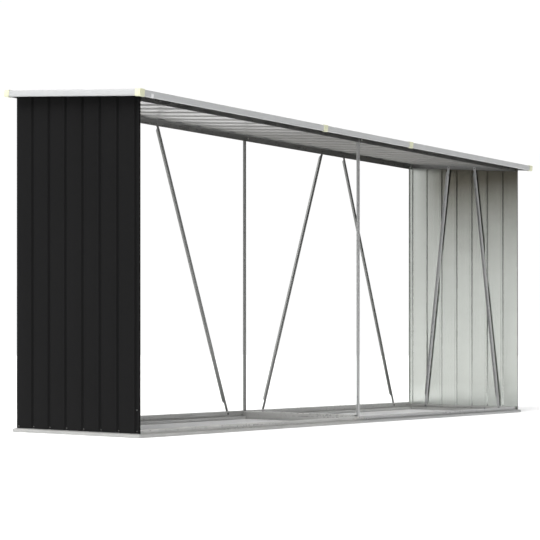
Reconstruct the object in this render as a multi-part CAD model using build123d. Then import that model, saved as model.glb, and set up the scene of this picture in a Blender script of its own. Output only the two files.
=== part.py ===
from build123d import *
import os
from math import atan2, degrees, hypot

os.makedirs("parts", exist_ok=True)

# Overall sizes of the log store, in millimetres
wall_length = 3180.0         # outside of the left end wall to outside of the right end wall
wall_depth = 750.0           # front edge to back edge of an end wall
front_eave = 1424.0          # ground to the underside of the roof sheets, over the front edge of the walls
roof_fall = 75.0             # how much higher that underside is over the back edge of the walls
end_overhang = 58.0          # end wall to the face of the roof trim
front_overhang = 60.0
back_overhang = 12.0

# End walls: one ribbed sheet each, with its two vertical edges folded inward
wall_sheet = 0.6
wall_profile = 8.0           # outer face to the inside of a groove
groove_count = 7
groove_mouth = 20.0
groove_floor = 9.0
short_edge = 18.5            # the last groove to the edge of the sheet beside it

# Base rails: a foot on the ground, a low outer face, a sloped ledge and an upstand behind the wall
rail_sheet = 0.9
base_foot = 30.0
base_reach = 12.0
base_face = 9.5
base_ledge = 17.0
base_upstand = 33.0
back_upstand = 44.0          # the back rail stands higher than the others

# Middle rail and middle posts
middle_rail_width = 40.0
middle_rail_top = 40.0
middle_rail_play = 4.0       # between the front post and the end of the middle rail
post_width = 11.0
post_leg = 11.0

# Top rails: angles under the roof sheets
front_top_web = 28.0
back_top_web = 32.0
end_top_web = 25.0
top_flange = 20.0

# Braces: angles with a flat tab at each end, placed from the middle of the back and along the ends
brace_sheet = 1.0
brace_flat = 16.0
brace_fin = 11.0
brace_foot_tab = 70.0
brace_head_tab = 30.0
brace_end = 9.0
brace_head_share = 0.6       # of the top rail's web, down from the roof
inner_brace_foot = 144.0
inner_brace_head = 684.0
outer_brace_foot = 1406.0
outer_brace_head = 887.0
end_brace_foot = 253.0
end_brace_head = 89.0

# Roof sheets: ribs run from front to back, and each sheet laps over a rib of the last one
roof_sheet = 0.6
roof_sheets = 4
rib_count = 6                # pitches of the ribs in one sheet
rib_rise = 12.0
rib_top = 32.0
rib_foot = 54.0
sheet_play = 2.0             # between the roof sheets and the trim

# Roof trim: channels round the edge, with plastic corner caps and joint covers
trim_sheet = 0.8
trim_height = 28.0
trim_top_flange = 20.0
trim_low_flange = 10.0
trim_joint = 370.0           # joints of the front and back trim, either side of the middle
cap_wall = 2.0
cap_run = 27.0
cover_width = 31.0

# Places that follow from those sizes
half_length = wall_length / 2
half_depth = wall_depth / 2
up = Vector(0, 0, 1)
slope_depth = hypot(wall_depth, roof_fall)
slant = slope_depth / wall_depth
rail_face = half_depth - wall_profile        # outer faces of the upstands and webs, front and back
frame_line = wall_profile + rail_sheet       # outer wall face to the inner face of upstands and webs
inner_face = half_depth - frame_line         # inner faces of the upstands and webs, front and back
trim_top = rib_rise + roof_sheet + trim_sheet
trim_low = trim_top - trim_height
rise_limit = front_eave + roof_fall + roof_fall
roof_place = Pos(0, -half_depth, front_eave) * Rot(degrees(atan2(roof_fall, wall_depth)), 0, 0)


def eave(y):
    """Height of the underside of the roof sheets at depth y."""
    return front_eave + roof_fall * (y + half_depth) / wall_depth


def folded(points, sheet):
    """Section of folded sheet: the points run along its datum side, and the metal lies to the left
    of that run, mitred at each fold."""
    corners = [Vector(*point) for point in points]
    runs = [(b - a).normalized() for a, b in zip(corners, corners[1:])]
    lefts = [Vector(-run.Y, run.X) for run in runs]
    shifts = [lefts[0]]
    for one, two in zip(lefts, lefts[1:]):
        shifts.append((one + two) / (1 + one.dot(two)))
    shifts.append(lefts[-1])
    far_side = [corner + shift * sheet for corner, shift in zip(corners, shifts)]
    return make_face(Polyline(*corners, *reversed(far_side), close=True))


def both_ends(part):
    """A piece of the right half, and its mirror image in the left half."""
    return {"left": mirror(part, about=Plane.YZ), "right": part}


def under_roof(part, drop):
    """The part of a piece below the underside of the roof sheets, less a drop."""
    low, high = -wall_depth, wall_depth
    side = Polyline((low, 0), (high, 0), (high, eave(high) - drop), (low, eave(low) - drop), close=True)
    return part & extrude(Plane.YZ * make_face(side), amount=wall_length, both=True)


def edge_run(section, out, centre, reach, low, high):
    """A section carried along one edge of a plan rectangle. Section x points out from the edge and
    section y points up. Low and high are measured along the run, from the middle of that edge."""
    along = out.cross(up)
    start = Plane(origin=centre + out * reach + along * low, x_dir=out, z_dir=along)
    return extrude(start * section, amount=high - low)


def mitre(out, centre, reach, half_run, depth, low, high):
    """The space over one edge of a plan rectangle, ending at 45 degrees at both corners."""
    plan = Polyline(
        (-depth, depth - half_run), (-depth, half_run - depth),
        (depth, half_run + depth), (depth, -half_run - depth), close=True)
    start = Plane(origin=centre + out * reach + up * low, x_dir=out, z_dir=up)
    return extrude(start * make_face(plan), amount=high - low)


parts = {}
front, back, right = Vector(0, -1, 0), Vector(0, 1, 0), Vector(1, 0, 0)
middle = Vector(0, 0, 0)


def base_section(upstand):
    """Section of a base rail with an upstand of the given height, out from the edge of the walls and up."""
    return folded(
        [(-base_foot, 0), (base_reach, 0), (base_reach, base_face), (0, base_ledge),
         (-wall_profile, base_ledge), (-wall_profile, upstand)], rail_sheet)


# Base rails, mitred at the corners and joined at the middle of the front and back
base_end = half_length + base_reach
for side, out, low, high, upstand in (
        ("front", front, -base_end, 0, base_upstand), ("back", back, 0, base_end, back_upstand)):
    rail = edge_run(base_section(upstand), out, middle, half_depth, low, high)
    rail &= mitre(out, middle, half_depth, half_length, base_foot, 0, upstand)
    for hand, piece in both_ends(rail).items():
        parts[f"{side}_base_rail_{hand}"] = piece
side_reach = half_depth + base_reach
rail = edge_run(base_section(base_upstand), right, middle, half_length, -side_reach, side_reach)
rail &= mitre(right, middle, half_length, half_depth, base_foot, 0, base_upstand)
for hand, piece in both_ends(rail).items():
    parts[f"{hand}_base_rail"] = piece

# Middle posts: channels behind the upstands and the top rails that they join, open to the back. The
# front one stands on the foot of its rail, and the back one on the ledge, short of the trim over it.
half_post = post_width / 2
post_section = folded(
    [(-half_post, post_leg), (-half_post, 0), (half_post, 0), (half_post, post_leg)], rail_sheet)
post = extrude(post_section, amount=rise_limit)
parts["front_middle_post"] = under_roof(Pos(0, -inner_face, rail_sheet) * post, rail_sheet * slant)
parts["back_middle_post"] = under_roof(Pos(0, rail_face, base_ledge) * post, (sheet_play - trim_low) * slant)

# Middle base rail: an upturned channel from the front post to the back upstand, on the feet of the rails
half_rail = middle_rail_width / 2
rail_section = folded(
    [(half_rail, rail_sheet), (half_rail, middle_rail_top),
     (-half_rail, middle_rail_top), (-half_rail, rail_sheet)], rail_sheet)
rail_run = inner_face * 2 - post_leg - middle_rail_play
parts["middle_base_rail"] = extrude(Plane.XZ.offset(-inner_face) * rail_section, amount=rail_run)

# End walls: the same sheet turned half round, standing on the ledge and cut to the slope of the roof
inside = half_length - wall_profile
groove_bed = inside + wall_sheet
groove_pitch = (wall_depth - short_edge) / groove_count
wall_points = [(inside, -half_depth), (half_length, -half_depth)]
for groove in range(groove_count):
    y = (groove + 1) * groove_pitch - half_depth
    wall_points += [
        (half_length, y - groove_mouth / 2), (groove_bed, y - groove_floor / 2),
        (groove_bed, y + groove_floor / 2), (half_length, y + groove_mouth / 2)]
wall_points += [(half_length, half_depth), (inside, half_depth)]
wall = Pos(0, 0, base_ledge) * extrude(folded(wall_points, wall_sheet), amount=rise_limit)
parts["right_end_wall"] = under_roof(wall, 0)
parts["left_end_wall"] = under_roof(Rot(0, 0, 180) * wall, 0)

# Top rails along the front and back, between the end walls and joined at the middle posts
flange_line = rail_face - top_flange
front_points = [
    (-flange_line, eave(-flange_line)), (-rail_face, eave(-rail_face)),
    (-rail_face, eave(-rail_face) - front_top_web)]
back_points = [
    (rail_face, eave(rail_face) - back_top_web), (rail_face, eave(rail_face)),
    (flange_line, eave(flange_line))]
for side, points in (("front", front_points), ("back", back_points)):
    rail = extrude(Plane.YZ * folded(points, rail_sheet), amount=inside)
    for hand, piece in both_ends(rail).items():
        parts[f"{side}_top_rail_{hand}"] = piece

# Top rails along the ends, on the slope, between the flanges of the front and back rails
end_points = [(inside, -end_top_web), (inside, 0), (inside - top_flange, 0)]
end_start = (half_depth - flange_line) * slant
end_stop = slope_depth - end_start
rail = extrude(Plane.XZ.offset(-end_stop) * folded(end_points, rail_sheet), amount=end_stop - end_start)
for hand, piece in both_ends(roof_place * rail).items():
    parts[f"{hand}_top_rail"] = piece


def brace(foot, head, way, hand):
    """An angle between two bolt places. One leg lies flat on the rails and runs out as a tab at each
    end, and the other stands the given way off the rails, along the edge on the given hand."""
    run = head - foot
    start = Plane(origin=foot - run.normalized() * brace_end, x_dir=way, z_dir=run)
    length = run.length + brace_end + brace_end
    edge = hand * brace_flat / 2
    flat = Polyline((0, -edge), (brace_sheet, -edge), (brace_sheet, edge), (0, edge), close=True)
    corner = edge - hand * brace_sheet
    fin = Polyline((0, corner), (brace_fin, corner), (brace_fin, edge), (0, edge), close=True)
    flat_leg = extrude(start * make_face(flat), amount=length)
    standing = start.offset(brace_foot_tab) * make_face(fin)
    return flat_leg + extrude(standing, amount=length - brace_foot_tab - brace_head_tab)


# Braces across the back: two leaning pairs, bolted outside the base rails and the top rails
back_foot = (base_ledge + back_upstand) / 2
head_rise = eave(rail_face) - back_top_web * brace_head_share
back_braces = {
    "inner": (inner_brace_foot, inner_brace_head, 1), "outer": (outer_brace_foot, outer_brace_head, -1)}
for name, (foot, head, lean) in back_braces.items():
    angle = brace(Vector(foot, rail_face, back_foot), Vector(head, rail_face, head_rise), back, lean)
    for hand, piece in both_ends(angle).items():
        parts[f"back_{name}_brace_{hand}"] = piece

# Braces inside each end: a leaning pair, bolted to the base rail and the sloped top rail
brace_plane = half_length - frame_line
end_foot = (base_ledge + base_upstand) / 2
head_drop = end_top_web * brace_head_share
for name, out, lean in (("front", -1, 1), ("back", 1, -1)):
    foot = out * end_brace_foot
    head = out * end_brace_head
    angle = brace(
        Vector(brace_plane, foot, end_foot), Vector(brace_plane, head, eave(head) - head_drop), -right, lean)
    for hand, piece in both_ends(angle).items():
        parts[f"{hand}_{name}_brace"] = piece

# Roof rectangle on the slope, to the face of the trim
roof_half = half_length + end_overhang
roof_half_depth = (front_overhang + slope_depth + back_overhang) / 2
roof_centre = Vector(0, roof_half_depth - front_overhang, 0)

# Roof sheets, side by side along the store
sheet_half = roof_half - trim_sheet - sheet_play
sheet_half_depth = roof_half_depth - trim_sheet - sheet_play
rib_pitch = sheet_half * 2 / (roof_sheets * rib_count)
for number in range(roof_sheets):
    first = number * rib_count
    last = first + rib_count
    x = first * rib_pitch - sheet_half
    lap = rib_top / 2 if number else 0
    points = [(x - lap, rib_rise), (x + rib_top / 2, rib_rise), (x + rib_foot / 2, 0)]
    for rib in range(first + 1, last):
        x = rib * rib_pitch - sheet_half
        points += [
            (x - rib_foot / 2, 0), (x - rib_top / 2, rib_rise),
            (x + rib_top / 2, rib_rise), (x + rib_foot / 2, 0)]
    x = last * rib_pitch - sheet_half
    lapped = last < roof_sheets * rib_count
    end_rise = rib_rise - roof_sheet if lapped else rib_rise
    lap = rib_top / 2 - roof_sheet if lapped else 0
    points += [(x - rib_foot / 2, 0), (x - rib_top / 2, end_rise), (x + lap, end_rise)]
    back_edge = Plane.XZ.offset(-roof_centre.Y - sheet_half_depth)
    sheet = extrude(back_edge * folded(points, roof_sheet), amount=sheet_half_depth * 2)
    parts[f"roof_sheet_{number + 1}"] = roof_place * sheet

# Roof trim, hung by its top flange from the ribs
trim_section = folded(
    [(-trim_low_flange, trim_low), (0, trim_low), (0, trim_top), (-trim_top_flange, trim_top)], trim_sheet)
space_low = trim_low - cap_wall
space_high = trim_top + cap_wall
for side, out in (("front", front), ("back", back)):
    corners = mitre(out, roof_centre, roof_half_depth, roof_half, trim_top_flange, space_low, space_high)
    trim = edge_run(trim_section, out, roof_centre, roof_half_depth, -trim_joint, trim_joint)
    parts[f"{side}_trim_middle"] = roof_place * trim
    low, high = (-roof_half, -trim_joint) if side == "front" else (trim_joint, roof_half)
    trim = edge_run(trim_section, out, roof_centre, roof_half_depth, low, high) & corners
    for hand, piece in both_ends(roof_place * trim).items():
        parts[f"{side}_trim_{hand}"] = piece
corners = mitre(right, roof_centre, roof_half, roof_half_depth, trim_top_flange, space_low, space_high)
trim = edge_run(trim_section, right, roof_centre, roof_half, -roof_half_depth, roof_half_depth) & corners
for hand, piece in both_ends(roof_place * trim).items():
    parts[f"{hand}_trim"] = piece

# Plastic corner caps and joint covers, clipped round the outside of the trim
cap_section = folded(
    [(-trim_top_flange, trim_top), (0, trim_top), (0, trim_low), (-trim_low_flange, trim_low)], cap_wall)
for side, out in (("front", front), ("back", back)):
    hand_sign = -1 if side == "front" else 1
    low, high = sorted((hand_sign * (roof_half - cap_run), hand_sign * (roof_half + cap_wall)))
    long_leg = edge_run(cap_section, out, roof_centre, roof_half_depth, low, high)
    long_leg &= mitre(out, roof_centre, roof_half_depth, roof_half, trim_top_flange, space_low, space_high)
    low, high = sorted((-hand_sign * (roof_half_depth - cap_run), -hand_sign * (roof_half_depth + cap_wall)))
    end_leg = edge_run(cap_section, right, roof_centre, roof_half, low, high)
    end_leg &= mitre(right, roof_centre, roof_half, roof_half_depth, trim_top_flange, space_low, space_high)
    for hand, piece in both_ends(roof_place * (long_leg + end_leg)).items():
        parts[f"{side}_{hand}_corner_cap"] = piece
    half_cover = cover_width / 2
    covers = [
        edge_run(cap_section, out, roof_centre, roof_half_depth, place - half_cover, place + half_cover)
        for place in (-trim_joint, trim_joint)]
    parts[f"{side}_joint_covers"] = roof_place * Part(covers[0] + covers[1])

# The origin lies on the ground, under the middle of the whole store
whole = Compound(children=[Part(piece.wrapped) for piece in parts.values()]).bounding_box()
to_origin = Pos(0, -whole.center().Y, 0)
for node, piece in parts.items():
    export_step(to_origin * piece, f"parts/{node}.step")
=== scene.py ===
import math

import bpy
import numpy as np
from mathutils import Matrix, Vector


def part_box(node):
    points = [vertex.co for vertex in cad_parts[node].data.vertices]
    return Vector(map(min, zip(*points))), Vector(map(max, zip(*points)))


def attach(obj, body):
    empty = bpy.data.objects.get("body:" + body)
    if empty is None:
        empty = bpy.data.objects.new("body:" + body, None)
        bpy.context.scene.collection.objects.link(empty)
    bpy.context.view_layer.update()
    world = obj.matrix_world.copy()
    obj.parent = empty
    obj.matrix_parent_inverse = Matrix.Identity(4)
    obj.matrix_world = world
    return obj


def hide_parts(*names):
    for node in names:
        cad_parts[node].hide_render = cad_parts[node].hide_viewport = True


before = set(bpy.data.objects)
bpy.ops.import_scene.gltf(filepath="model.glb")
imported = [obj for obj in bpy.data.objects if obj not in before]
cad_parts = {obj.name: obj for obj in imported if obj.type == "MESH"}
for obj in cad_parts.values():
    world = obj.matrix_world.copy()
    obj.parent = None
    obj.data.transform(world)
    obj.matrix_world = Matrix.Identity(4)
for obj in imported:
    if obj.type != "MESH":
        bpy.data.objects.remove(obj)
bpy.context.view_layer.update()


# Base rails
# Galvanised steel strip, roll-formed into a foot with a turned-up lip, a low outer face, a ledge for the
# walls to stand on and an upstand behind them. The rails are mitred at the corners and butt at the middle of
# each long side. The back rails take a paler zinc, which is painted light, and the right front rail a darker
# one, which is painted shade.
rail_sheet = 0.0009
rail_bend = 0.0014
base_foot, base_lip = 0.030, 0.0168
lip_gap = 0.004
base_face = 0.0140
butt_gap = 0.0004
zinc_ripple = 0.0006

wall_low, wall_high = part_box("right_end_wall")
rail_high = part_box("right_base_rail")[1]
half_length = wall_high.x
front_edge, back_edge = wall_low.y, wall_high.y
middle_y, half_depth = (back_edge + front_edge) / 2, (back_edge - front_edge) / 2
wall_profile = wall_high.x - wall_low.x
base_reach = rail_high.x - wall_high.x
ledge, upstand = wall_low.z, rail_high.z
back_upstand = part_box("back_base_rail_right")[1].z
middle_low, middle_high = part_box("middle_base_rail")
half_rail = middle_high.x
right, back, up = np.eye(3)
hands = (("left", -right), ("right", right))


class Shade:
    """One socket of a node tree. Sums, differences and products of shades and numbers add Math nodes,
    and node() adds any other node from its type, its settings and its sockets."""

    def __init__(self, tree, socket):
        self.tree = tree
        self.socket = socket

    def node(self, kind, settings, sockets, out=0):
        made = self.tree.nodes.new(f"ShaderNode{kind}")
        for name, value in settings.items():
            setattr(made, name, value)
        for key, value in sockets.items():
            if isinstance(value, Shade):
                self.tree.links.new(value.socket, made.inputs[key])
            else:
                made.inputs[key].default_value = value
        return Shade(self.tree, made.outputs[out])

    def maths(self, operation, first, second=0.0):
        return self.node("Math", {"operation": operation}, {0: first, 1: second})

    def __add__(self, other):
        return self.maths("ADD", self, other)

    def __sub__(self, other):
        return self.maths("SUBTRACT", self, other)

    def __rsub__(self, other):
        return self.maths("SUBTRACT", other, self)

    def __mul__(self, other):
        return self.maths("MULTIPLY", self, other)

    __radd__ = __add__
    __rmul__ = __mul__

    def clamped(self):
        return self.node("Clamp", {}, {"Value": self})

    def axis(self, name):
        return self.node("SeparateXYZ", {}, {"Vector": self}, name)

    def scaled(self, x, y, z):
        """These coordinates times x, y and z, so that a pattern on them is as many times finer."""
        return self.node("Mapping", {"vector_type": "POINT"}, {"Vector": self, "Scale": (x, y, z)})

    def noise(self, scale, detail=3.0):
        """Clouds from 0 to 1, about as many in a metre as the scale says."""
        return self.node("TexNoise", {}, {"Vector": self, "Scale": scale, "Detail": detail})

    def cells(self, scale):
        """A random number for each cell of a Voronoi pattern."""
        colour = self.node("TexVoronoi", {}, {"Vector": self, "Scale": scale}, "Color")
        return colour.node("SeparateColor", {}, {"Color": colour}, "Red")

    def blend(self, low, high):
        """From the low colour where this shade is 0 to the high colour where it is 1."""
        return self.node("Mix", {"data_type": "RGBA"}, {0: self, 6: (*low, 1.0), 7: (*high, 1.0)}, 2)

    def bump(self, depth):
        return self.node("Bump", {}, {"Strength": 1.0, "Distance": depth, "Height": self})


def finish(name, varying, **constants):
    """A material. Varying takes object coordinates and the piece's own run coordinates, and gives the
    shader sockets that change over the surface; constants are set on the shader itself."""
    material = bpy.data.materials.new(name)
    material.use_nodes = True
    tree = material.node_tree
    shader = tree.nodes["Principled BSDF"]
    place = Shade(tree, tree.nodes.new("ShaderNodeTexCoord").outputs["Object"])
    run = place.node("UVMap", {"uv_map": "run"}, {})
    for key, value in constants.items():
        shader.inputs[key.replace("_", " ")].default_value = value
    for key, shade in varying(place, run).items():
        tree.links.new(shade.socket, shader.inputs[key])
    return material


def spangled(low, high):
    """Zinc between two colours: crystals a centimetre across, streaks along the strip and longer clouds,
    dulled close to the ground."""
    def varying(place, run):
        spangle = place.cells(95.0)
        streak = run.scaled(1.6, 210.0, 1.0).noise(1.0)
        cloud = run.scaled(4.0, 30.0, 1.0).noise(1.0)
        ground = (1.0 - place.axis("Z") * 60.0).clamped() * 0.25
        tone = (spangle * 0.07 + streak * 0.50 + cloud * 0.55 - ground - 0.06).clamped()
        return {
            "Base Color": tone.blend(low, high),
            "Roughness": spangle * 0.04 + streak * 0.12 + ground * 0.2 + 0.22,
            "Normal": (place.noise(7.0, 1.0) + streak * 0.05).bump(zinc_ripple)}
    return varying


galvanised = finish("galvanised_steel", spangled((0.28, 0.28, 0.275), (0.66, 0.66, 0.64)), Metallic=0.6)
# The middle zinc is painted shade on the right front rail; the palest is painted light on the back rails.
mid_galvanised = finish(
    "weathered_galvanised_steel", spangled((0.32, 0.325, 0.325), (0.54, 0.54, 0.54)), Metallic=0.8)
painted_light_galvanised = finish(
    "pale_galvanised_steel", spangled((0.60, 0.60, 0.59), (0.88, 0.88, 0.87)), Metallic=0.3)


def bent(points, sheet, bend, steps=4):
    """The two faces of a bent sheet's section, as rows of points. The given points run along one face with
    the metal on the left. The middle line lies half a sheet to the left of them, and each of its corners is
    an arc: start + bend * (sin(turn) * run + (1 - cos(turn)) * side). The faces lie half a sheet to each
    side of that line."""
    points = np.array(points, float)
    runs = np.diff(points, axis=0)
    runs /= np.linalg.norm(runs, axis=1)[:, None]
    lefts = runs[:, ::-1] * (-1, 1)
    facing = (lefts[:-1] * lefts[1:]).sum(1)[:, None]
    shifts = np.vstack([lefts[:1], (lefts[:-1] + lefts[1:]) / (1 + facing), lefts[-1:]])
    middle = points + shifts * sheet / 2
    turn = np.arctan2((lefts[:-1] * runs[1:]).sum(1), facing[:, 0])[:, None]
    angle = (turn * np.linspace(0, 1, steps + 1))[..., None]
    start = (middle[1:-1] - runs[:-1] * bend * np.tan(abs(turn) / 2))[:, None]
    run, left = runs[:-1, None], lefts[:-1, None]
    arcs = start + bend * (np.sin(abs(angle)) * run + (1 - np.cos(angle)) * left * np.sign(turn)[..., None])
    leans = np.cos(angle) * left - np.sin(angle) * run
    line = np.vstack([middle[:1], arcs.reshape(-1, 2), middle[-1:]])
    normal = np.vstack([lefts[:1], leans.reshape(-1, 2), lefts[-1:]]) * sheet / 2
    return line - normal, line + normal


def carried(section, origin, across, rise, along, start, stop, shares=np.array([0.0, 1.0]), form=None):
    """A closed sheet: origin + u * across + v * rise + s * along, over the section's loop of points (u, v)
    and over s from start(u, v) to stop(u, v), at the given shares of the way. Form changes u and v along s.
    Gives points, quads, each quad's side (0 first face, 1 second face, 2 cut edge) and (s, girth)."""
    near, far = section
    count, stations = len(near), len(shares)
    u, v = np.vstack([near, far[::-1]]).T
    s = (1 - shares[:, None]) * start(u, v) + shares[:, None] * stop(u, v)
    u, v = form(u, v, s) if form else (u + 0 * s, v + 0 * s)
    points = np.array(origin) + u[..., None] * across + v[..., None] * rise + s[..., None] * along
    girth = np.cumsum(np.linalg.norm(np.diff(near, axis=0, prepend=near[:1]), axis=1))
    girth = np.concatenate([girth, girth[::-1]])
    index = np.arange(points.size // 3).reshape(stations, -1)
    turned = np.roll(index, -1, axis=1)
    walls = np.stack([index[:-1], turned[:-1], turned[1:], index[1:]], -1).reshape(-1, 4)
    step = np.arange(count - 1)
    cap = np.stack([step, 2 * count - 1 - step, 2 * count - 2 - step, step + 1], -1)
    quads = np.vstack([walls, index[0][cap], index[-1][cap][:, ::-1]])
    face = np.repeat([0, 2, 1, 2], [count - 1, 1, count - 1, 1])
    sides = np.concatenate([np.tile(face, stations - 1), np.full(2 * len(cap), 2)])
    points = points.reshape(-1, 3)
    a, b, c, d = points[quads].transpose(1, 0, 2)
    if (np.cross(a, b) * c + np.cross(a, c) * d).sum() < 0:
        quads = quads[:, ::-1]
    return points, quads, sides, np.stack([s, girth + 0 * s], -1).reshape(-1, 2)


def joined(shapes):
    """Several shapes as one, with the later quads counted on from the earlier points."""
    points, quads, sides, runs = zip(*shapes)
    counts = np.cumsum([0] + [len(p) for p in points[:-1]])
    quads = [q + first for q, first in zip(quads, counts)]
    return np.vstack(points), np.vstack(quads), np.concatenate(sides), np.vstack(runs)


crease = math.radians(35)


def piece(name, shape, materials, slot, *nodes):
    """Puts a shape into a mesh with one material for each side, and has it stand for its CAD nodes."""
    points, quads, sides, runs = shape
    mesh = bpy.data.meshes.new(name)
    mesh.from_pydata(points.tolist(), [], quads.tolist())
    layer = mesh.uv_layers.new(name="run")
    layer.data.foreach_set("uv", runs[quads.ravel()].astype(np.float32).ravel())
    for material in materials:
        mesh.materials.append(material)
    mesh.polygons.foreach_set("material_index", np.minimum(sides, len(materials) - 1).astype(np.int32))
    mesh.polygons.foreach_set("use_smooth", np.ones(len(quads), bool))
    mesh.set_sharp_from_angle(angle=crease)
    made = bpy.data.objects.new(name, mesh)
    bpy.context.scene.collection.objects.link(made)
    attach(made, "root")
    if nodes:
        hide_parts(*nodes)


def length(value):
    """A run's end that is square: the same for every point of the section."""
    return lambda u, v: value + 0 * u


def base_section(height):
    """Section of a base rail with an upstand of the given height."""
    return bent(
        [(-base_foot, base_lip), (-base_foot, 0), (base_reach, 0), (base_reach, base_face), (0, ledge),
         (-wall_profile, ledge), (-wall_profile, height)], rail_sheet, rail_bend)


def butt_end(u, v):
    """Where a long rail starts: at the butt joint, except for the lip, which is cut back to clear the
    middle rail."""
    lip = (u < rail_bend - base_foot) & (v > rail_sheet)
    return butt_gap / 2 + (half_rail + lip_gap) * lip


# Painted light and shade: the back rails take the palest zinc, the right front rail a darker one.
rail_zinc = {
    ("front", "left"): galvanised, ("front", "right"): mid_galvanised,
    ("back", "left"): painted_light_galvanised, ("back", "right"): painted_light_galvanised}
long_sides = (("front", -back, front_edge, upstand), ("back", back, back_edge, back_upstand))
for side, out, edge, height in long_sides:
    for hand, way in hands:
        node = f"{side}_base_rail_{hand}"
        shape = carried(
            base_section(height), edge * back, out, up, way, butt_end, lambda u, v: half_length + u)
        piece(f"{node}_strip", shape, [rail_zinc[side, hand]], "galvanised_frame", node)
for hand, out in hands:
    shape = carried(
        base_section(upstand), half_length * out + middle_y * back, out, up, back,
        lambda u, v: -half_depth - u, lambda u, v: half_depth + u)
    node = f"{hand}_base_rail"
    piece(f"{node}_strip", shape, [galvanised], "galvanised_frame", node)


# Middle base rail
# A galvanised channel, open side down, that ties the front and back base rails together under the posts.
# It is folded from one strip and cut square at both ends, and two bolts go through its top.
middle_section = bent(
    [(half_rail, middle_low.z), (half_rail, middle_high.z), (-half_rail, middle_high.z),
     (-half_rail, middle_low.z)], rail_sheet, rail_bend)
shape = carried(
    middle_section, np.zeros(3), right, up, back, length(middle_low.y), length(middle_high.y))
piece("middle_base_rail_strip", shape, [galvanised], "galvanised_frame", "middle_base_rail")


# Middle posts
# Two slim galvanised channels, open to the back, that stand behind the upstands and the top rails and are
# bolted through both. They are cut to the slope: the front one under the rail's flange, the back one under
# the trim.
dull_galvanised = finish(
    "dull_galvanised_steel", spangled((0.13, 0.135, 0.13), (0.28, 0.28, 0.275)), Metallic=1.0)
rail_face = half_depth - wall_profile
front_rail_low, front_rail_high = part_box("front_top_rail_right")
back_rail_low, back_rail_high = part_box("back_top_rail_right")
slope = (back_rail_high.z - front_rail_high.z) / (back_rail_high.y - front_rail_high.y)


def eave(y):
    """Height of the underside of the roof sheets: a straight slope through the two top rails."""
    return front_rail_high.z + slope * (y - front_rail_high.y)


for side in ("front", "back"):
    node = f"{side}_middle_post"
    post_low, post_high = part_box(node)
    half_post, post_leg = post_high.x, post_high.y - post_low.y
    post_section = bent(
        [(post_leg, half_post), (0, half_post), (0, -half_post), (post_leg, -half_post)],
        -rail_sheet, rail_bend)
    drop = eave(post_high.y) - post_high.z
    shape = carried(
        post_section, post_low.y * back, back, right, up, length(post_low.z),
        lambda u, v: eave(post_low.y + u) - drop)
    zinc = mid_galvanised if side == "front" else dull_galvanised
    piece(f"{node}_channel", shape, [zinc], "galvanised_frame", node)


# End walls
# Each is one sheet of steel, coil-coated anthracite outside and pale grey-green inside, with seven rolled
# grooves and both upright edges folded in. The two are the same sheet turned half round, screwed to the
# rails at the foot and the top.
wall_sheet = 0.0006
wall_bend = 0.0014
groove_count = 7
groove_mouth, groove_floor = 0.020, 0.009
short_edge = 0.0185
paint_peel, lining_ripple = 0.00006, 0.0003
pan_belly, wall_steps = 0.0007, 61
wall_waves = ((1.0, 4.1, 2.3, 0.0), (0.6, 9.7, 4.4, 1.0))
# Painted shade darkens the lining under the roof, except by the back edge; painted light lifts its foot.
painted_shade_from, painted_shade_rate = 0.65, 1.4
painted_shade_edge_rate, painted_shade_edge_offset = 4.5, 0.25
painted_light_foot_rate, painted_light_foot_lift = 6.0, 0.30


def anthracite_coat(place, run):
    """Nearly black satin paint with a fine orange peel, cloudy gloss and a trace of dust above the ground."""
    cloud = place.scaled(3.0, 3.0, 0.9).noise(1.6)
    dust = (1.0 - place.axis("Z") * 7.0).clamped() * place.noise(30.0)
    tone = cloud * 0.6 + dust * 0.5
    return {
        "Base Color": tone.clamped().blend((0.0078, 0.0078, 0.0080), (0.0108, 0.0108, 0.0110)),
        "Roughness": cloud * 0.14 + dust * 0.2 + 0.42,
        "Normal": place.noise(700.0, 2.0).bump(paint_peel)}


def lacquered_zinc(place, run):
    """The sheet's own zinc under a thin grey-green lacquer: it mirrors softly, in faint rolled streaks.
    Painted shade makes it browner and darker up under the roof, except along the back edge, and painted light
    makes it paler at the foot."""
    streak = run.scaled(0.35, 90.0, 1.0).noise(1.0)
    cloud = place.noise(3.0)
    # Painted shade browns and darkens the lining up under the roof; painted light lifts it near the foot.
    rise = ((place.axis("Z") - painted_shade_from) * painted_shade_rate).clamped()
    painted_shade_inward = ((back_edge - place.axis("Y")) * painted_shade_edge_rate - painted_shade_edge_offset).clamped()
    foot = (1.0 - place.axis("Z") * painted_light_foot_rate).clamped()
    tone = (streak * 0.09 + cloud * 0.09 + 0.585) * (1.0 - rise * rise * painted_shade_inward) + foot * painted_light_foot_lift
    return {
        "Base Color": tone.blend((0.15, 0.142, 0.115), (0.75, 0.786, 0.748)),
        "Roughness": streak * 0.06 + cloud * 0.05 + 0.19,
        "Normal": (place.noise(9.0, 1.0) + streak * 0.1).bump(lining_ripple)}


anthracite = finish("anthracite_coat", anthracite_coat, Specular_IOR_Level=0.03)
wall_lining = finish("lacquered_zinc", lacquered_zinc, Metallic=1.0)

groove_pitch = (2 * half_depth - short_edge) / groove_count
groove_places = (np.arange(groove_count) + 1) * groove_pitch - half_depth
groove_shape = np.array(
    [(0, -groove_mouth / 2), (wall_sheet - wall_profile, -groove_floor / 2),
     (wall_sheet - wall_profile, groove_floor / 2), (0, groove_mouth / 2)])
grooves = (groove_shape + groove_places[:, None, None] * (0, 1)).reshape(-1, 2)
wall_section = bent(
    np.vstack([[(-wall_profile, -half_depth), (0, -half_depth)], grooves,
               [(0, half_depth), (-wall_profile, half_depth)]]), wall_sheet, wall_bend)


def ripple(s, number, waves):
    """Slow waves along a numbered pan: a sum of size * sin(turn * s + step * number + start)."""
    return sum(size * np.sin(turn * s + step * number + start) for size, turn, step, start in waves)


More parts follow.
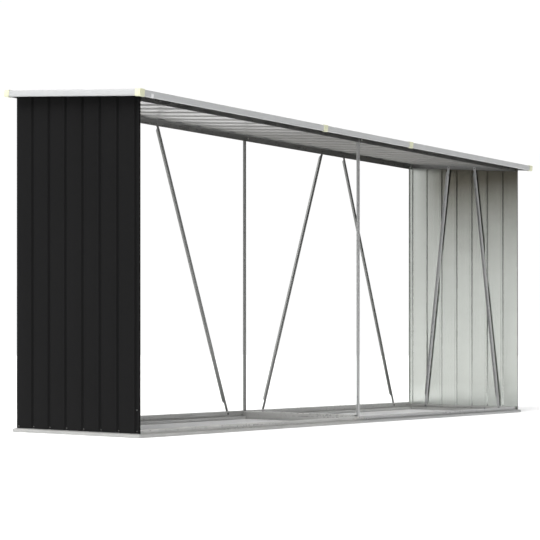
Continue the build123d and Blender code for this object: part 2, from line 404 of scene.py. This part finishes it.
def belly(u, v, s):
    """Slight hollows in the wall's pans: a sine across each pan, zero at the grooves, times a ripple."""
    pan = np.abs(np.sin(np.pi * (v + half_depth) / groove_pitch))
    number = np.floor((v + half_depth) / groove_pitch)
    flat = np.abs(v) < half_depth - wall_profile
    return u + pan_belly * pan * ripple(s, number, wall_waves) * flat, v + 0 * s


for hand, out in hands:
    node = f"{hand}_end_wall"
    along_wall = back * out[0]
    shape = carried(
        wall_section, half_length * out + middle_y * back, out, along_wall, up, length(ledge),
        lambda u, v: eave(middle_y + v * along_wall[1]), np.linspace(0, 1, wall_steps), belly)
    piece(f"{node}_sheet", shape, [anthracite, wall_lining, galvanised], "wall_sheet", node)


# Top rails
# Galvanised angles under the edge of the roof: the flange carries the sheets and the web hangs down for the
# posts, braces and walls to be bolted to. The long ones butt at the middle, and the end ones lie on the
# slope.
top_flange = front_rail_high.y - front_rail_low.y
front_web = eave(front_rail_low.y) - front_rail_low.z
back_web = back_rail_high.z - back_rail_low.z
end_web = 0.025
inside = half_length - wall_profile
dark_galvanised = finish(
    "dark_galvanised_steel", spangled((0.12, 0.122, 0.118), (0.21, 0.21, 0.205)), Metallic=1.0)
for side, out, web in (("front", -1, front_web), ("back", 1, back_web)):
    web_y = middle_y + out * rail_face
    flange_y = web_y - out * top_flange
    top_section = bent(
        [(web_y, eave(web_y) - web), (web_y, eave(web_y)), (flange_y, eave(flange_y))],
        out * rail_sheet, rail_bend)
    for hand, way in hands:
        node = f"{side}_top_rail_{hand}"
        shape = carried(top_section, np.zeros(3), back, up, way, length(butt_gap / 2), length(inside))
        piece(f"{node}_angle", shape, [dark_galvanised], "galvanised_frame", node)

uphill = np.array([0, 1, slope]) / math.hypot(1, slope)
outward = np.array([0, -slope, 1]) / math.hypot(1, slope)
roof_start = np.array([0, front_edge, eave(front_edge)])
end_section = bent([(0, -end_web), (0, 0), (-top_flange, 0)], rail_sheet, rail_bend)
end_margin = (wall_profile + top_flange) * math.hypot(1, slope)
slope_depth = 2 * half_depth * math.hypot(1, slope)
for hand, out in hands:
    node = f"{hand}_top_rail"
    shape = carried(
        end_section, roof_start + inside * out, out, outward, uphill, length(end_margin),
        length(slope_depth - end_margin))
    piece(f"{node}_angle", shape, [dark_galvanised], "galvanised_frame", node)


# Braces
# Galvanised angles that lean across the open back and inside each end. One leg lies flat on the rails, and
# the other stands off along one edge and is nipped away near the ends, which leaves a tab to bolt down.
brace_sheet, brace_bend = 0.001, 0.0014
brace_flat, brace_fin = 0.016, 0.011
foot_tab, head_tab, brace_end, fin_nip = 0.070, 0.030, 0.009, 0.012
least_fin, most_closed, round_steps = 0.02, 0.995, 7
brace_head_share = 0.6
inner_brace_foot, inner_brace_head = 0.144, 0.684
outer_brace_foot, outer_brace_head = 1.406, 0.887
end_brace_foot, end_brace_head = 0.253, 0.089


def brace(foot, head, off, hand):
    """A bent angle carried from one bolt to the other. Towards each end its fin shrinks to the sheet over
    the nip, and its flat leg closes in a half round: width * sqrt(1 - x * x), x being 1 at the very end."""
    run = head - foot
    reach = np.linalg.norm(run)
    run /= reach
    edge = hand * brace_flat / 2
    section = bent([(0, -edge), (0, edge), (brace_fin, edge)], -hand * brace_sheet, brace_bend)
    whole = reach + 2 * brace_end

    def nipped(u, v, s):
        from_end = np.minimum(s, whole - s)
        fin = np.clip(np.minimum(s - foot_tab, whole - s - head_tab) / fin_nip, least_fin, 1)
        close = np.clip(1 - from_end / (brace_flat / 2), 0, most_closed)
        standing = np.maximum(u - brace_sheet, 0)
        return u - standing * (1 - fin), v * np.sqrt(1 - close * close)

    rounding = brace_flat / 2 * (1 - np.cos(np.linspace(0, math.pi / 2, round_steps)))
    stations = np.concatenate(
        [rounding, [foot_tab, foot_tab + fin_nip, whole - head_tab - fin_nip, whole - head_tab],
         whole - rounding[::-1]])
    return carried(
        section, foot - run * brace_end, off, np.cross(run, off), run, length(0), length(whole),
        stations / whole, nipped)


back_foot = (ledge + back_upstand) / 2
end_foot = (ledge + upstand) / 2
back_face = middle_y + rail_face
head_rise = eave(back_face) - back_web * brace_head_share
brace_ends = []
for name, foot_x, head_x in (
        ("inner", inner_brace_foot, inner_brace_head), ("outer", outer_brace_foot, outer_brace_head)):
    for hand, way in (("left", -1), ("right", 1)):
        node = f"back_{name}_brace_{hand}"
        foot = np.array([way * foot_x, back_face, back_foot])
        head = np.array([way * head_x, back_face, head_rise])
        brace_ends.append((foot, head, back))
        shape = brace(foot, head, back, 1)
        piece(f"{node}_angle", shape, [dull_galvanised], "galvanised_frame", node)
brace_plane = half_length - wall_profile - rail_sheet
for hand, out in (("left", -1), ("right", 1)):
    for name, way in (("front", -1), ("back", 1)):
        node = f"{hand}_{name}_brace"
        foot = np.array([out * brace_plane, middle_y + way * end_brace_foot, end_foot])
        head_y = middle_y + way * end_brace_head
        head = np.array([out * brace_plane, head_y, eave(head_y) - end_web * brace_head_share])
        brace_ends.append((foot, head, -out * right))
        shape = brace(foot, head, -out * right, -out)
        piece(f"{node}_angle", shape, [mid_galvanised], "galvanised_frame", node)


# Roof sheets
# Four sheets of coated steel, anthracite on top and warm grey below, with flat-topped ribs that run from
# front to back. The grey below is darker than the coat's own: painted shade for the dim light under the
# roof. Each sheet laps over the last rib of the one before, and they are screwed to the top rails.
roof_sheet = 0.0006
roof_bend = 0.003
sheet_count, ribs_each = 4, 6
rib_rise, rib_top, rib_foot = 0.012, 0.032, 0.054
front_overhang, back_overhang = 0.060, 0.012
trim_sheet, sheet_play = 0.0008, 0.002
roof_belly, roof_steps = 0.0006, 31
roof_waves = ((1.0, 7.3, 1.9, 0.0), (0.5, 17.0, 3.1, 0.0))
roof_gloss, gloss_fade, coat_ripple = 0.88, 1.4, 0.0003

roof_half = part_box("right_trim")[1].x
sheet_half = roof_half - trim_sheet - sheet_play
sheet_front = trim_sheet + sheet_play - front_overhang
sheet_back = slope_depth + back_overhang - trim_sheet - sheet_play
rib_pitch = 2 * sheet_half / (sheet_count * ribs_each)
rib_shape = np.array(
    [(0, -rib_foot / 2), (rib_rise, -rib_top / 2), (rib_rise, rib_top / 2), (0, rib_foot / 2)])


def glossy_back_coat(place, run):
    """Warm grey back coat in faint streaks along the ribs: glossy on the left, duller from the middle on. Its
    grey is darker than the coat's own: painted shade for the dim light under the roof.
    """
    streak = run.scaled(0.35, 60.0, 1.0).noise(1.0)
    cloud = place.noise(3.0)
    return {
        # Painted shade: the base colour is kept dark for the dim light under the roof.
        "Base Color": (streak * 0.3 + cloud * 0.7).blend((0.19, 0.188, 0.18), (0.25, 0.247, 0.236)),
        "Roughness": streak * 0.05 + cloud * 0.10 + 0.65,
        "Coat Weight": roof_gloss - (place.axis("X") * gloss_fade + 1.0).clamped() * roof_gloss,
        "Normal": cloud.bump(coat_ripple)}


roof_lining = finish("glossy_back_coat", glossy_back_coat, Specular_IOR_Level=0.1, Coat_Roughness=0.22)


def sag(u, v, s):
    """Shallow hollows in the roof's pans: a squared sine across each pan, times 1 + a ripple."""
    pan = np.cos(np.pi * (v + sheet_half) / rib_pitch) ** 2
    number = np.floor((v + sheet_half) / rib_pitch)
    return u - roof_belly * (1 - pan) * (1 + ripple(s, number, roof_waves)), v + 0 * s


for number in range(sheet_count):
    first, last = number * ribs_each, (number + 1) * ribs_each
    left_x, right_x = np.array([first, last]) * rib_pitch - sheet_half
    left_lap = rib_top / 2 if number else 0
    lapped = number + 1 < sheet_count
    right_lap, right_rise = (rib_top / 2, rib_rise - roof_sheet) if lapped else (0, rib_rise)
    middles = np.arange(first + 1, last) * rib_pitch - sheet_half
    ribs = (rib_shape + middles[:, None, None] * (0, 1)).reshape(-1, 2)
    left_half = [
        (rib_rise, left_x - left_lap), (rib_rise, left_x + rib_top / 2), (0, left_x + rib_foot / 2)]
    right_half = [
        (0, right_x - rib_foot / 2), (right_rise, right_x - rib_top / 2), (right_rise, right_x + right_lap)]
    roof_section = bent(np.vstack([left_half, ribs, right_half]), -roof_sheet, roof_bend)
    shape = carried(
        roof_section, roof_start, outward, right, uphill, length(sheet_front), length(sheet_back),
        np.linspace(0, 1, roof_steps), sag)
    node = f"roof_sheet_{number + 1}"
    piece(f"{node}_panel", shape, [roof_lining, anthracite, galvanised], "roof_sheet", node)


# Roof trim
# Pale grey painted channels hung over the edge of the roof sheets: a wide flange on the ribs, a plain face
# and a short return below. They are mitred at the corners and joined twice along the front and the back.
trim_height, trim_bend = 0.028, 0.0035
trim_top_flange, trim_low_flange = 0.020, 0.010
trim_joint, trim_ripple = 0.370, 0.0005


def pale_grey_coat(place, run):
    """Pale grey paint over zinc, with long faint rolling marks and slow clouds in its shine."""
    streak = run.scaled(1.2, 320.0, 1.0).noise(1.0)
    cloud = place.noise(6.0)
    return {
        "Base Color": (streak * 0.5 + cloud * 0.5).blend((0.41, 0.42, 0.425), (0.48, 0.48, 0.48)),
        "Roughness": streak * 0.12 + cloud * 0.10 + 0.30,
        "Normal": (cloud + streak * 0.04).bump(trim_ripple)}


trim_coat = finish("pale_grey_coat", pale_grey_coat, Specular_IOR_Level=0.4)
trim_top = rib_rise + roof_sheet + trim_sheet
trim_low = trim_top - trim_height
roof_half_depth = (front_overhang + slope_depth + back_overhang) / 2
roof_middle = roof_start + (roof_half_depth - front_overhang) * uphill
trim_section = bent(
    [(-trim_low_flange, trim_low), (0, trim_low), (0, trim_top), (-trim_top_flange, trim_top)],
    trim_sheet, trim_bend)
for side, out in (("front", -uphill), ("back", uphill)):
    edge = roof_middle + roof_half_depth * out
    shape = carried(trim_section, edge, out, outward, right, length(-trim_joint), length(trim_joint))
    piece(f"{side}_trim_middle_strip", shape, [trim_coat], "roof_trim", f"{side}_trim_middle")
    for hand, way in hands:
        node = f"{side}_trim_{hand}"
        shape = carried(
            trim_section, edge, out, outward, way, length(trim_joint), lambda u, v: roof_half + u)
        piece(f"{node}_strip", shape, [trim_coat], "roof_trim", node)
for hand, out in hands:
    shape = carried(
        trim_section, roof_middle + roof_half * out, out, outward, uphill,
        lambda u, v: -roof_half_depth - u, lambda u, v: roof_half_depth + u)
    piece(f"{hand}_trim_strip", shape, [trim_coat], "roof_trim", f"{hand}_trim")


# Corner caps and joint covers
# Cream plastic mouldings that clip round the outside of the trim and hide its mitres and joints. A corner cap
# has two legs that meet in a mitre, and a joint cover is one short length of the same section.
cap_wall, cap_bend = 0.002, 0.0028
cap_run, cover_width = 0.027, 0.031
plastic_grain = 0.00005


def moulded(low, high):
    """Injection-moulded plastic between two colours, faintly cloudy, with a fine matt grain."""
    def varying(place, run):
        cloud = place.noise(40.0)
        return {
            "Base Color": cloud.blend(low, high),
            "Roughness": cloud * 0.15 + 0.35,
            "Normal": place.noise(900.0).bump(plastic_grain)}
    return varying


cap_plastic = finish(
    "cream_plastic", moulded((0.60, 0.61, 0.42), (0.68, 0.685, 0.51)), Specular_IOR_Level=0.4)
cap_section = bent(
    [(-trim_top_flange, trim_top), (0, trim_top), (0, trim_low), (-trim_low_flange, trim_low)],
    cap_wall, cap_bend)
for side, out in (("front", -uphill), ("back", uphill)):
    edge = roof_middle + roof_half_depth * out
    for hand, way in hands:
        long_leg = carried(
            cap_section, edge, out, outward, way, length(roof_half - cap_run), lambda u, v: roof_half + u)
        end_leg = carried(
            cap_section, roof_middle + roof_half * way, way, outward, out,
            length(roof_half_depth - cap_run), lambda u, v: roof_half_depth + u)
        node = f"{side}_{hand}_corner_cap"
        piece(f"{node}_moulding", joined([long_leg, end_leg]), [cap_plastic], "trim_cap", node)
    covers = [
        carried(
            cap_section, edge, out, outward, right, length(joint - cover_width / 2),
            length(joint + cover_width / 2))
        for joint in (-trim_joint, trim_joint)]
    piece(f"{side}_joint_covers_mouldings", joined(covers), [cap_plastic], "trim_cap", f"{side}_joint_covers")


# Trim clip
# One small white plastic clip, moulded to an angle and pushed up over the lower edge of the front trim, near
# the trim's left end.
clip_sheet, clip_bend = 0.0015, 0.002
clip_rise, clip_return, clip_width = 0.016, 0.006, 0.014
clip_place = 0.074
clip_plastic = finish(
    "white_plastic", moulded((0.66, 0.66, 0.66), (0.74, 0.74, 0.74)), Specular_IOR_Level=0.4)
clip_section = bent(
    [(-clip_return, trim_low), (0, trim_low), (0, trim_low + clip_rise)], -clip_sheet, clip_bend)
shape = carried(
    clip_section, roof_middle - roof_half_depth * uphill, -uphill, outward, -right,
    length(roof_half - clip_place - clip_width / 2), length(roof_half - clip_place + clip_width / 2))
piece("front_trim_clip", shape, [clip_plastic], "trim_cap")


# Screws and bolts
# Self-drilling screws hold the wall and roof sheets to the rails, and short bolts with nuts join the braces,
# posts and rails. Each head has a washer under it. The roof screws and post bolts are bright zinc plate, the
# wall foot screws and brace bolts are dull zinc, and the wall top screws are painted with the sheet.
screw_washer, screw_head, screw_rise = 0.0036, 0.0025, 0.0022
wall_screw_washer, wall_screw_head = 0.0026, 0.0020
bolt_washer, bolt_head, bolt_rise = 0.0055, 0.0042, 0.0034
washer_rise = 0.0009
head_points, chamfer_rise, chamfer_width, steep = 12, 0.15, 0.9, 0.7
wall_screw_rise, edge_screw_rise, edge_screw_inset = 0.026, 0.115, 0.016


def plated_zinc(place, run):
    """Zinc plate on small turned parts: bright, and a little yellow in clouds."""
    cloud = place.noise(120.0)
    return {
        "Base Color": cloud.blend((0.50, 0.51, 0.50), (0.72, 0.70, 0.62)),
        "Roughness": cloud * 0.2 + 0.22}


plated = finish("plated_zinc", plated_zinc, Metallic=1.0)


def heads(places, axes, washer, head, rise):
    """Hexagonal heads on washers at many places at once: rings of radius r(angle) and height h round an axis,
    where a hexagon's ring has r / cos(angle past the nearest flat). Strips of quads close both ends."""
    angle = np.arange(head_points) * 2 * math.pi / head_points
    hexagon = 1 / np.cos((angle + math.pi / 6) % (math.pi / 3) - math.pi / 6)
    disc, top = np.ones(head_points), washer_rise + rise
    radii = np.array(
        [washer * disc, washer * disc, head * hexagon, head * hexagon, chamfer_width * head * disc])
    rises = np.array([0, washer_rise, washer_rise, top - chamfer_rise * rise, top])[:, None] * disc
    axes = np.broadcast_to(np.array(axes, float), np.shape(places))
    side = np.cross(axes, np.where(np.abs(axes[:, 2:]) > steep, right, up))
    side /= np.linalg.norm(side, axis=1)[:, None]
    other = np.cross(axes, side)
    across, along = radii * np.cos(angle), radii * np.sin(angle)
    points = (
        np.array(places)[:, None, None] + across[..., None] * side[:, None, None]
        + along[..., None] * other[:, None, None] + rises[..., None] * axes[:, None, None])
    index = np.arange(points.size // 3).reshape(len(points), len(radii), head_points)
    turned = np.roll(index, -1, axis=2)
    walls = np.stack([index[:, :-1], turned[:, :-1], turned[:, 1:], index[:, 1:]], -1).reshape(-1, 4)
    step = np.arange(head_points // 2 - 1)
    cap = np.stack([step, head_points - 1 - step, head_points - 2 - step, step + 1], -1)
    feet, tops = index[:, 0][:, cap], index[:, -1][:, cap][..., ::-1]
    quads = np.vstack([walls, feet.reshape(-1, 4), tops.reshape(-1, 4)])
    points = points.reshape(-1, 3)
    return points, quads, np.zeros(len(quads), int), points[:, :2]


wall_screws, wall_axes, top_screws, top_axes = [], [], [], []
for out in (-right, right):
    along_wall = back * out[0]
    floor_face = (half_length - wall_profile + wall_sheet) * out + middle_y * back
    spots = [floor_face + y * along_wall + wall_screw_rise * up for y in groove_places]
    spots.append(floor_face + groove_places[-1] * along_wall + edge_screw_rise * up)
    pan_face = half_length * out + (middle_y - (half_depth - edge_screw_inset) * along_wall[1]) * back
    spots.append(pan_face + wall_screw_rise * up)
    wall_screws += spots
    wall_axes += [out] * len(spots)
    rises = eave(middle_y + groove_places * along_wall[1]) - end_web / 2
    top_screws += list(floor_face + groove_places[:, None] * along_wall + rises[:, None] * up)
    top_axes += [out] * groove_count
shape = heads(wall_screws, wall_axes, wall_screw_washer, wall_screw_head, screw_rise)
piece("wall_foot_screws", shape, [dark_galvanised], "galvanised_frame")
shape = heads(top_screws, top_axes, wall_screw_washer, wall_screw_head, screw_rise)
piece("wall_top_screws", shape, [anthracite], "wall_sheet")

screw_ribs = np.arange(1, sheet_count * ribs_each, 2) * rib_pitch - sheet_half
rail_lines = np.array([wall_profile + top_flange / 2, 2 * half_depth - wall_profile - top_flange / 2])
rail_lines *= math.hypot(1, slope)
roof_screws = (
    roof_start + (rib_rise + roof_sheet) * outward + screw_ribs[:, None, None] * right
    + rail_lines[:, None] * uphill).reshape(-1, 3)
shape = heads(roof_screws, outward, screw_washer, screw_head, screw_rise)
piece("roof_screws", shape, [plated], "galvanised_frame")

bolt_places, bolt_axes = [], []
for foot, head, off in brace_ends:
    bolt_places += [foot + brace_sheet * off, head + brace_sheet * off]
    bolt_axes += [off, off]
    if off is back:
        bolt_places += [foot - rail_sheet * off, head - rail_sheet * off]
        bolt_axes += [-off, -off]
shape = heads(bolt_places, bolt_axes, bolt_washer, bolt_head, bolt_rise)
piece("brace_bolts", shape, [dull_galvanised], "galvanised_frame")

splice_steps = np.array([-0.030, -0.012, 0.012, 0.030])[:, None]
splice_rises = np.array([0.005, 0.009, 0.009, 0.005])[:, None]
top_bolt_place, rail_bolt_share = 0.022, 0.34
post_bolts, post_axes = [], []
for face_y, web in ((middle_y - rail_face, front_web), (middle_y + rail_face - rail_sheet, back_web)):
    face = face_y * back
    post_bolts += list(face + splice_steps * right + (ledge + splice_rises) * up)
    post_bolts.append(face + top_bolt_place * right + (eave(face_y) - web / 2) * up)
post_axes += [-back] * len(post_bolts)
for share in (rail_bolt_share, 1 - rail_bolt_share):
    post_bolts.append((front_edge + 2 * half_depth * share) * back + middle_high.z * up)
    post_axes.append(up)
shape = heads(post_bolts, post_axes, screw_washer, screw_head, screw_rise)
piece("post_bolts", shape, [plated], "galvanised_frame")


# Studio
# A plain pale floor and soft white light: a bright backdrop behind and to the left, a dim room in front, a
# soft box high on the left, a small one at the back and a broad lamp overhead. A level camera with a raised
# lens keeps the uprights parallel.
floor_half, floor_drop = 60.0, 0.0004
backdrop, dim_side, dome, left_sky = 1.02, 0.12, 0.15, 1.05
left_box, back_box, rear_box = 5.2, 0.10, 1.8
floor_fade, left_fade, dome_start, dome_rate = 8.0, 3.0, 0.24, 6.0
key_strength, key_spread, key_lean = 1.9, 6.0, (-0.10, -0.10, 1.0)
picture_width = 540
focal_pixels, horizon_pixels = 1483.94, 78.44
camera_left, camera_front, camera_height = 4.46223, 4.24852, 0.37078
camera_turn = 38.557 - 90
sensor_width = 36.0


def floor_paint(place, run):
    """Matt white paint in faint clouds more than a metre across."""
    return {"Base Color": place.noise(0.7).blend((0.86, 0.86, 0.86), (0.90, 0.90, 0.90))}


floor_mesh = bpy.data.meshes.new("studio_floor")
corners = np.array([(-1, -1, 0), (1, -1, 0), (1, 1, 0), (-1, 1, 0)]) * floor_half - floor_drop * up
floor_mesh.from_pydata(corners.tolist(), [], [(0, 1, 2, 3)])
floor_mesh.materials.append(finish("pale_floor", floor_paint, Roughness=0.8, Specular_IOR_Level=0.1))
floor = bpy.data.objects.new("studio_floor", floor_mesh)
bpy.context.scene.collection.objects.link(floor)

world = bpy.data.worlds.new("studio_light")
bpy.context.scene.world = world
world.use_nodes = True
sky = Shade(world.node_tree, world.node_tree.nodes.new("ShaderNodeTexCoord").outputs["Generated"])


def patch(way, edge, rate):
    """A soft-edged patch of the sky round a direction: the cosine of the angle to it less the edge's, times
    the rate, kept from 0 to 1."""
    cosine = sky.node("VectorMath", {"operation": "DOT_PRODUCT"}, {0: sky, 1: way}, "Value")
    return ((cosine - edge) * rate).clamped()


height = sky.axis("Z")
behind = patch((0.78, 0.62, 0.0), edge=0.78, rate=8.0)
front = patch((-0.30, -0.95, 0.0), edge=0.50, rate=5.0)
left_back = patch((-0.77, 0.64, 0.0), edge=0.60, rate=5.0)
softbox = patch((-0.69, -0.10, 0.72), edge=0.85, rate=12.0)
overhead = patch((0.42, 0.50, 0.76), edge=0.82, rate=8.0)
rear_left = patch((-0.57, 0.62, 0.54), edge=0.955, rate=40.0)
near_floor = (1.0 - height * floor_fade).clamped()
above = ((height - dome_start) * dome_rate).clamped()
side_light = dim_side + near_floor * (1.0 - front) * (backdrop - dim_side)
left_light = (left_sky - height * left_fade).clamped()
low_sky = side_light * (1.0 - behind) * (1.0 - left_back) + behind * backdrop + left_back * left_light
strength = (
    low_sky * (1.0 - above) + above * dome + softbox * left_box + overhead * back_box + rear_left * rear_box)
background = world.node_tree.nodes["Background"]
world.node_tree.links.new(strength.socket, background.inputs["Strength"])
background.inputs["Color"].default_value = (1.0, 1.0, 1.0, 1.0)

key_data = bpy.data.lights.new("key_light", "SUN")
key_data.energy = key_strength
key_data.angle = math.radians(key_spread)
key = bpy.data.objects.new("key_light", key_data)
key.rotation_euler = Vector(key_lean).to_track_quat("Z", "Y").to_euler()
bpy.context.scene.collection.objects.link(key)

camera_data = bpy.data.cameras.new("photo_camera")
camera = bpy.data.objects.new("photo_camera", camera_data)
bpy.context.scene.collection.objects.link(camera)
camera.location = (-half_length - camera_left, front_edge - camera_front, camera_height)
camera.rotation_euler = (math.radians(90), 0, math.radians(camera_turn))
camera_data.sensor_width = sensor_width
camera_data.lens = focal_pixels / picture_width * sensor_width
camera_data.shift_y = horizon_pixels / picture_width
bpy.context.scene.camera = camera
bpy.context.scene.view_settings.view_transform = "Standard"
